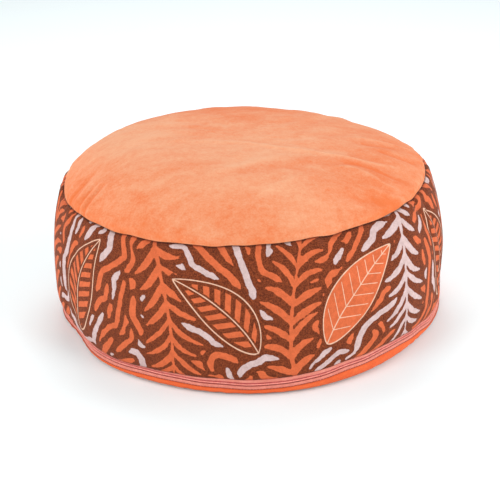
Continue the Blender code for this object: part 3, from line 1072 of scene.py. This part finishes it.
def print_leaf(strip, around, up, turn, length, width, bend, barred):
    middle = np.array([math.radians(around) * FULL_RADIUS, up])
    at, u, v = strip.near(middle[None, :], length / 2 + FAR)
    u, v, turn = u - middle[0], v - middle[1], math.radians(turn)
    along, aside = u * math.cos(turn) + v * math.sin(turn), v * math.cos(turn) - u * math.sin(turn)
    share = along / length + 0.5
    held = np.clip(share, 0, 1)
    aside = aside - bend * (1 - (2 * held - 1) ** 2)

    def half_width(t):
        return width / 2 * np.sin(math.pi * np.clip(t, 0, 1) ** 0.8) ** 0.85

    step = 0.002  # a small share of the length, over which the edge's slope is measured
    slope = (half_width(held + step) - half_width(held - step)) / (2 * step * length)
    inside = (np.abs(aside) - half_width(held)) / np.sqrt(1 + np.clip(slope, -2, 2) ** 2)
    beyond = np.hypot((share - held) * length, aside)
    distance = np.clip(np.where(share == held, inside, beyond), -FAR, FAR)
    nearer = distance < strip.fields["leaf"][at]
    drawn = {
        "side": aside,
        "vein": (along - VEIN_SLANT * np.abs(aside)) / VEIN_PITCH,
        "barred": np.full(distance.shape, float(barred)),
        "leaf": distance,
    }
    for name, value in drawn.items():
        field = strip.fields[name]
        field[at] = np.where(nearer, value, field[at])


# %% [markdown]
# Fern fronds
#
# A frond is a curved rib with pairs of leaflets, each a brush stroke that is thin at its ends. A loop walks
# up the rib and sets them off to either side, a little uneven each time, from a fixed seed.

# %% Fronds
FRONDS = (  # angle round, height of the foot, turn, length, bend, length of a leaflet, colour
    (-150, -0.006, 82, 0.138, 0.010, 0.029, "orange"),
    (-112, 0.134, -86, 0.136, -0.010, 0.027, "lilac"),
    (-72, -0.006, 94, 0.138, 0.010, 0.028, "orange"),
    (-29, 0.134, -80, 0.136, 0.010, 0.029, "orange"),
    (12, -0.006, 82, 0.140, 0.012, 0.027, "orange"),
    (52, 0.134, -92, 0.136, -0.010, 0.027, "lilac"),
    (91, -0.006, 84, 0.138, -0.012, 0.028, "orange"),
    (131, 0.134, -84, 0.134, 0.010, 0.027, "lilac"),
    (171, -0.006, 78, 0.138, -0.010, 0.029, "orange"),
)
LEAFLET_PITCH = 0.0150
RIB_HALF, LEAFLET_HALF = 0.0019, 0.0032  # half the width at the fullest


def bent(start, turn, length, bend, count):
    """Points along a bowed line, and how far along it each is."""
    t = np.linspace(0, 1, count)
    along, aside = t * length, bend * 4 * t * (1 - t)
    u = start[0] + along * math.cos(turn) - aside * math.sin(turn)
    v = start[1] + along * math.sin(turn) + aside * math.cos(turn)
    return np.stack([u, v], axis=1), t


def print_frond(strip, random, around, up, turn, length, bend, leaflet, colour):
    turn, room = math.radians(turn), strip.room()
    rib, t = bent((math.radians(around) * FULL_RADIUS, up), turn, length, bend, 16)
    brush(strip, colour, rib, RIB_HALF * (1 - 0.55 * t), room)
    pairs = int(length / LEAFLET_PITCH)
    for pair in range(pairs):
        share = (pair + 0.5) / pairs
        foot = [np.interp(share, t, rib[:, axis]) for axis in (0, 1)]
        heading = turn + math.atan(bend * 4 * (1 - 2 * share) / length)
        size = leaflet * (0.55 + 0.60 * math.sin(math.pi * (0.10 + 0.80 * share)))
        for hand in (1, -1):
            lean = heading + hand * math.radians(random.uniform(46, 58))
            reach = size * random.uniform(0.85, 1.15)
            curl = -hand * reach * random.uniform(0.05, 0.16)
            points, along = bent(foot, lean, reach, curl, 7)
            thick = LEAFLET_HALF * random.uniform(0.85, 1.15) * (1 - 0.3 * share)
            brush(strip, colour, points, thick * np.sin(math.pi * (0.14 + 0.80 * along)) ** 0.7, room)


# %% [markdown]
# The ground between
#
# What is left of the ground is filled with loose strokes. Each starts where there is most room, turns the way
# the open lane runs, and walks along it both ways until the lane closes. Some are stopped early and stay
# short dabs. It is the way a hand fills a background, and it never needs a table.

# %% Ground strokes
LONGEST_STROKES = (0.005, 0.016, 0.045)
NARROWEST, WIDEST = 0.0012, 0.0032  # half widths
SMALLEST_ROOM = 0.0056
LANE_ENDS = 0.0048
STEP = 0.0022
LOOK = (0.006, -0.006)  # how far to either side of its start a stroke looks for room
DAB = 0.0005  # the length of a stroke that has no room to run
LILAC_SHARE = 0.30


def room_at(room, point, heading, step):
    """The room one step away from a point, and that place."""
    place = point + step * np.array([math.cos(heading), math.sin(heading)])
    row, columns = int((place[1] - STRIP_LOW) / RASTER), room.shape[1]
    column = int((place[0] + AROUND / 2) / AROUND * columns) % columns
    return (room[row, column] if 0 <= row < len(room) else 0.0), place


def walk(room, point, heading, longest):
    """Steps along an open lane, each time the way that has the most room."""
    path, rooms = [], []
    while len(path) * STEP < longest:
        headings = [heading + math.radians(turn) for turn in (0, 12, -12, 24, -24, 36, -36)]
        heading = max(headings, key=lambda h: room_at(room, point, h, 1.6 * STEP)[0])
        left, point = room_at(room, point, heading, STEP)
        if left < LANE_ENDS:
            break
        path.append(point)
        rooms.append(left)
    return path, rooms


def fill_ground(strip, random):
    room = strip.room()
    made = 0
    while room.max() > SMALLEST_ROOM:
        row, column = divmod(int(np.argmax(room)), strip.columns)
        middle = np.array([strip.u[column], strip.v[row]])
        headings = random.uniform(0, math.pi) + np.arange(12) * math.pi / 12
        heading = max(headings, key=lambda h: min(room_at(room, middle, h, step)[0] for step in LOOK))
        longest = random.choice(LONGEST_STROKES, p=(0.25, 0.30, 0.45))
        ahead, room_ahead = walk(room, middle, heading, longest)
        behind, room_behind = walk(room, middle, heading + math.pi, longest)
        path = np.array(behind[::-1] + [middle] + ahead + ([] if ahead or behind else [middle + DAB]))
        rooms = np.array(room_behind[::-1] + [room[row, column]] + room_ahead)
        rooms = np.append(rooms, rooms[-1:])[: len(path)]
        widths = np.clip(rooms - BARE, NARROWEST, WIDEST * random.uniform(0.7, 1.0))
        from_end = np.minimum(np.arange(len(path)), np.arange(len(path))[::-1])
        widths = widths * np.clip(0.55 + 0.25 * from_end, 0, 1)
        colour = "lilac" if random.uniform() < LILAC_SHARE else "orange"
        at, distance = brush(strip, colour, path, widths)
        room[at] = np.minimum(room[at], distance)
        made += 1
    return made


def printed_strip():
    strip = Strip()
    random = np.random.default_rng(7)
    for leaf in LEAVES:
        print_leaf(strip, *leaf)
    for frond in FRONDS:
        print_frond(strip, random, *frond)
    print(f"{len(LEAVES)} leaves, {len(FRONDS)} fronds, {fill_ground(strip, random)} ground strokes")
    return strip


SEAM_SHADE_REACH = 0.0012


def print_on(piece, strip, rise):
    """Carries the strip, and the painted shade by the seam, onto the band. Its rows lie this far up it."""
    u = np.tile((np.arange(ROUND) / ROUND - 0.5) * AROUND, len(rise))
    v = np.repeat(rise, ROUND)
    for name in FIELDS:
        keep(piece, "print_" + name, strip.read(name, u, v), FAR)
    keep(piece, "painted_seam_shade", bell(rise.max() - v, SEAM_SHADE_REACH), 1.0)


def rise_of_rows(piece, count):
    """How far up the band each of its rows lies, along the cloth, from the zip."""
    points = np.array([vertex.co for vertex in piece.data.vertices])[: count * ROUND].reshape(count, ROUND, 3)
    step = np.linalg.norm(np.diff(points, axis=0), axis=2).mean(axis=1)
    step[:2] = step[-1] = 0.0  # the hidden lid and floor aren't cloth
    run = np.append(0.0, np.cumsum(step))
    return run[-1] - run


strip = printed_strip()
band_rise = rise_of_rows(band, len(band_drop) + 2)
print_on(band, strip, band_rise)
print(f"the band is {band_rise.max() * 1000:.0f} mm of cloth high")

# %% [markdown]
# The printed suede
#
# The shader lays the colours in a printer's order: brown ground, orange, lilac, and the cream lines last.
# The edge of each is shaken by a little noise, since ink on a pile never prints a clean edge. The ground
# keeps the suede's fine speckle, and the pile's mottling lies over all of it. Under the top seam a painted
# shade stands for the shadow where the band is drawn in, so the colours are deeper in the last millimetre.

# %% Band finish
GROUND, GROUND_DARK = (0.262, 0.054, 0.015), (0.112, 0.020, 0.005)
ORANGE = (0.650, 0.134, 0.046)
LILAC = (0.610, 0.452, 0.442)
CREAM = (0.760, 0.475, 0.340)
PILE_SHADE = (0.78, 0.75, 0.73)
# The painted shade's colour at the top seam.
SEAM_SHADE = (0.34, 0.27, 0.23)
OUTLINE = 0.00052  # half the width of a leaf's outline
MIDRIB = 0.00050
VEIN = 0.00040
BAR = 0.27  # half of a bar's share of the vein pitch
BAR_INSET, VEIN_INSET, BESIDE_RIB = 0.0036, 0.0030, 0.0022  # ground kept clear of them
EDGE_SOFT = 0.00018
EDGE_SHAKE = 0.0032
SPECKLE, SPECKLE_DEPTH = 0.0010, 0.00012
BLOTCH, BLOTCH_DEPTH = 0.0050, 0.00020


def printed_suede():
    finish = Finish("band_print", {
        "Roughness": 0.88, "Sheen Weight": 0.05, "Sheen Roughness": 0.5, "Sheen Tint": (1.0, 0.75, 0.62, 1.0),
        "Specular IOR Level": 0.2,
    })
    plus, less, times, size_of = finish.plus, finish.less, finish.times, finish.size_of
    orange, lilac, leaf, side, vein, barred = (finish.value_of("print_" + name) for name in FIELDS)
    wide_shake, fine_shake = finish.noise(0.0065, 2.0, 0.6), finish.noise(0.0016, 1.0, 0.5)
    shake = plus(times(wide_shake, 0.8), times(fine_shake, 0.2))
    shake = times(less(shake, 0.5), EDGE_SHAKE)

    def cut(distance, shaken=1.0):
        """1 inside a printed shape and 0 outside."""
        moved = finish.math("MULTIPLY_ADD", shake, shaken, distance)
        return less(1.0, finish.ramp(moved, -EDGE_SOFT, EDGE_SOFT))

    def line(distance, half_width):
        return cut(less(size_of(distance), half_width), 0.15)

    phase = size_of(less(finish.math("FRACT", vein), 0.5))
    bars = times(cut(times(less(phase, BAR), VEIN_PITCH), 0.6), cut(plus(leaf, BAR_INSET), 0.6))
    bars = times(bars, less(1.0, cut(less(size_of(side), BESIDE_RIB), 0.4)))
    veins = times(line(times(phase, VEIN_PITCH), VEIN), cut(plus(leaf, VEIN_INSET), 0.2))
    plain = less(1.0, barred)
    leaf_orange = plus(plain, times(barred, bars))
    leaf_cream = finish.math("MAXIMUM", times(veins, plain), line(side, MIDRIB))

    speckle, blotch = finish.noise(SPECKLE, 2.0, 0.7), finish.noise(BLOTCH, 3.0, 0.6)
    ground = finish.mix(finish.ramp(speckle, 0.38, 0.66), GROUND_DARK, GROUND)
    colour = finish.mix(cut(orange), ground, ORANGE)
    colour = finish.mix(cut(lilac), colour, LILAC)
    in_leaf = finish.mix(leaf_cream, finish.mix(leaf_orange, ground, ORANGE), CREAM)
    colour = finish.mix(cut(leaf, 0.15), colour, in_leaf)
    colour = finish.mix(line(leaf, OUTLINE), colour, CREAM)
    pile = plus(times(blotch, 0.5), times(speckle, 0.5))
    colour = finish.shaded(colour, finish.ramp(pile, 0.35, 0.65), (1.0, 1.0, 1.0), PILE_SHADE)
    # Painted shade along the top seam, for the shadow under the top's edge.
    colour = finish.shaded(colour, finish.value_of("painted_seam_shade"), SEAM_SHADE)
    return finish.done(colour, (blotch, BLOTCH_DEPTH), (speckle, SPECKLE_DEPTH))


band.data.materials.append(printed_suede())

# %% [markdown]
# Tape and coil
#
# Zip tape is a dense twill of polyester: fine slanting ribs with a slight shine. The coil is nylon, smoother
# and a little glossier. Both are the same coral pink, and the bed under the coil is painted deeper, as a
# painted shade where the two tapes meet.

# %% Zip finishes
RIB, RIB_SLANT, RIB_DEPTH = 0.0007, 0.8, 0.00012
NYLON_DEPTH = 0.00003


def woven_tape():
    finish = Finish("zip_tape", {
        "Roughness": 0.7, "Sheen Weight": 0.2, "Sheen Roughness": 0.4, "Specular IOR Level": 0.3,
    })
    cloth = finish.node("ShaderNodeSeparateXYZ", {0: finish.out("ShaderNodeUVMap", uv_map="cloth")}).outputs
    slant = finish.math("MULTIPLY_ADD", cloth["Y"], RIB_SLANT, cloth["X"])
    rib = finish.times(finish.math("PINGPONG", finish.math("DIVIDE", slant, RIB), 0.5), 2.0)
    colour = finish.mix(finish.ramp(rib, 0.0, 0.7), (0.54, 0.13, 0.095), (0.72, 0.230, 0.168))
    worn = finish.ramp(finish.noise(0.004, 3.0, 0.6), 0.35, 0.75)
    return finish.done(finish.mix(worn, colour, (0.76, 0.265, 0.200)), (rib, RIB_DEPTH))


def nylon(name, light, dark):
    finish = Finish(name, {"Roughness": 0.45})
    worn = finish.ramp(finish.noise(0.003, 2.0, 0.5), 0.35, 0.65)
    return finish.done(finish.mix(worn, dark, light), (finish.noise(0.0006, 1.0), NYLON_DEPTH))


tape_finish = woven_tape()
for tape in (tape_upper, tape_lower):
    tape.data.materials.append(tape_finish)
coil_nylon = nylon("coil_nylon", (0.86, 0.34, 0.27), (0.78, 0.26, 0.20))
# A deep raspberry: painted shade for the bed under the coil.
coil_shade = nylon("coil_shade", (0.52, 0.060, 0.062), (0.42, 0.045, 0.048))
# The stitches' thread is far darker than the tape: painted shade for the needle holes.
stitch_thread_painted_shade = nylon("stitch_thread_painted_shade", (0.30, 0.042, 0.026), (0.22, 0.030, 0.020))

# %% [markdown]
# The coil and its bed, and the stitching
#
# The coil is wound on a filler cord, and both lie on a bed that is set back between the tapes, so a dark line
# shows on either side, partly real shade and partly the bed's painted shade. The coil's loops cross the cord
# every 1.5 mm and stand just proud of the tapes. Along the lower tape a fine row of stitches holds it to the
# base panel, in a dark thread that is painted shade for the needle holes.

# %% Coil, bed and stitches
BED_DEPTH = 0.0008
CORE_WIDTH = 0.0010


def coil_bed():
    back, half = ZIP_RADIUS - TAPE_THICKNESS, COIL_WIDTH / 2
    face = ZIP_RADIUS - BED_DEPTH
    section = [(back, half), (face, half), (face, half / 2), (face, -half / 2), (face, -half), (back, -half)]
    piece = skin("coil_bed", settled([(radius, ZIP_HEIGHT + up) for radius, up in section]), ring=True)
    # Its finish is a painted shade, far deeper than the tapes' pink.
    piece.data.materials.append(coil_shade)
    return piece


def filler_cord():
    turn = np.linspace(math.pi, -math.pi, 10, endpoint=False)
    middle, half = ZIP_RADIUS - CORE_WIDTH / 2, CORE_WIDTH / 2
    section = np.stack([middle + half * np.cos(turn), ZIP_HEIGHT + half * np.sin(turn)], axis=1)
    piece = skin("filler_cord", settled(section), ring=True)
    piece.data.materials.append(coil_nylon)
    return piece


bed = coil_bed()
cord = filler_cord()
coil = arches(
    "coil", ZIP_RADIUS - CORE_WIDTH * 0.7, ZIP_HEIGHT, pitch=0.0015, material=coil_nylon,
    length=0.0012, rise=0.00085, thickness=0.00024, turn=math.radians(90), jitter=0.05, seed=11,
)
stitches = arches(
    "stitches", ZIP_RADIUS - 0.00010, ZIP_FOOT + 2 * GAP, pitch=0.0026, material=stitch_thread_painted_shade,
    length=0.0017, rise=0.00020, thickness=0.00030, turn=0.0, jitter=0.08, seed=12,
)

# %% [markdown]
# Floor, light and camera
#
# The cushion stands on a plain white floor between large soft lights: one high up behind it, and two on each
# side, which light its ends a little more than its front. A pale room fills the shadows. The camera is where
# the photo was taken from: about 24 degrees above the floor, with a long lens.

# %% Floor and light
LIGHTS = (  # name, place, size, watts, aim
    ("overhead", (0.0, 0.9, 1.4), 1.0, 9.6, (0.0, 0.4, 0.0)),
    ("left", (-1.5, 0.0, 0.6), 0.9, 7.2, (0.0, 0.0, 0.08)),
    ("right", (1.5, 0.0, 0.6), 0.9, 8.8, (0.0, 0.0, 0.08)),
    ("front_left", (-1.2, -1.1, 0.7), 0.8, 12.6, (0.0, 0.0, 0.08)),
    ("front_right", (1.2, -1.1, 0.7), 0.8, 13.0, (0.0, 0.0, 0.08)),
)
ROOM_LIGHT = 0.50
FLOOR_TONES = (0.885, 0.962, 0.975), (0.900, 0.972, 0.985)


def pale_floor():
    bpy.ops.mesh.primitive_plane_add(size=8.0, location=(0, 0, 0))
    floor = bpy.context.object
    floor.name = "floor"
    finish = Finish("floor", {"Roughness": 0.9, "Specular IOR Level": 0.0})
    floor.data.materials.append(finish.done(finish.mix(finish.noise(0.4), *FLOOR_TONES)))


def soft_light(name, place, size, watts, aim):
    lamp = bpy.data.lights.new(name, "AREA")
    lamp.shape = "DISK"
    lamp.size = size
    lamp.energy = watts
    light = placed(name, lamp)
    light.location = place
    light.rotation_mode = "QUATERNION"
    light.rotation_quaternion = (Vector(aim) - Vector(place)).to_track_quat("-Z", "Y")


def pale_room(strength):
    world = bpy.data.worlds.new("room")
    world.use_nodes = True
    backdrop = world.node_tree.nodes["Background"]
    backdrop.inputs["Color"].default_value = (1.0, 1.0, 1.0, 1.0)
    backdrop.inputs["Strength"].default_value = strength
    bpy.context.scene.world = world


pale_floor()
pale_room(ROOM_LIGHT)
for light in LIGHTS:
    soft_light(*light)
bpy.context.scene.view_settings.view_transform = "Standard"

# %% Camera
CAMERA_DOWN = math.radians(24.02)  # how far it looks down
CAMERA_ROLL = math.radians(1.12)
CAMERA_AWAY = 1.2420
CAMERA_ASIDE = (-0.00045, -0.0482)  # how far the cushion's foot sits right of and above the line of sight
LENS = 93.6


def photo_camera():
    down, roll = CAMERA_DOWN, CAMERA_ROLL
    look = Matrix((
        (1, 0, 0),
        (0, math.sin(down), math.cos(down)),
        (0, -math.cos(down), math.sin(down)),
    ))
    turn = Matrix(((math.cos(roll), -math.sin(roll), 0), (math.sin(roll), math.cos(roll), 0), (0, 0, 1)))
    axes = (turn @ look).transposed()
    camera = placed("camera", bpy.data.cameras.new("camera"))
    camera.data.lens = LENS
    camera.data.sensor_width = 36.0
    place = axes @ Vector((-CAMERA_ASIDE[0], -CAMERA_ASIDE[1], CAMERA_AWAY))
    camera.matrix_world = Matrix.Translation(place + Vector((*CENTRING, 0))) @ axes.to_4x4()
    bpy.context.scene.camera = camera
    print("camera at", tuple(round(x, 4) for x in camera.location))


photo_camera()

# %% [markdown]
# Attaching the pieces
#
# Each piece rides on the cushion's one body, and the solid that it stands for, where it has one, is hidden.
# A zafu is filled firmly.

# %% Ride, slot, replace, pad
PIECES = (
    (top, "top_suede", ("top_panel",)),
    (band, "band_print", ("side_band",)),
    (base, "base_suede", ("base_panel",)),
    (tape_upper, "zip_tape", ("zip_tape_upper",)),
    (tape_lower, "zip_tape", ("zip_tape_lower",)),
    (coil, "zip_coil", ("zip_coil",)),
    (bed, "zip_coil", ()),
    (cord, "zip_coil", ()),
    (stitches, "zip_tape", ()),
)
for piece, slot, nodes in PIECES:
    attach(piece, "root")
    if nodes:
        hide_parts(*nodes)
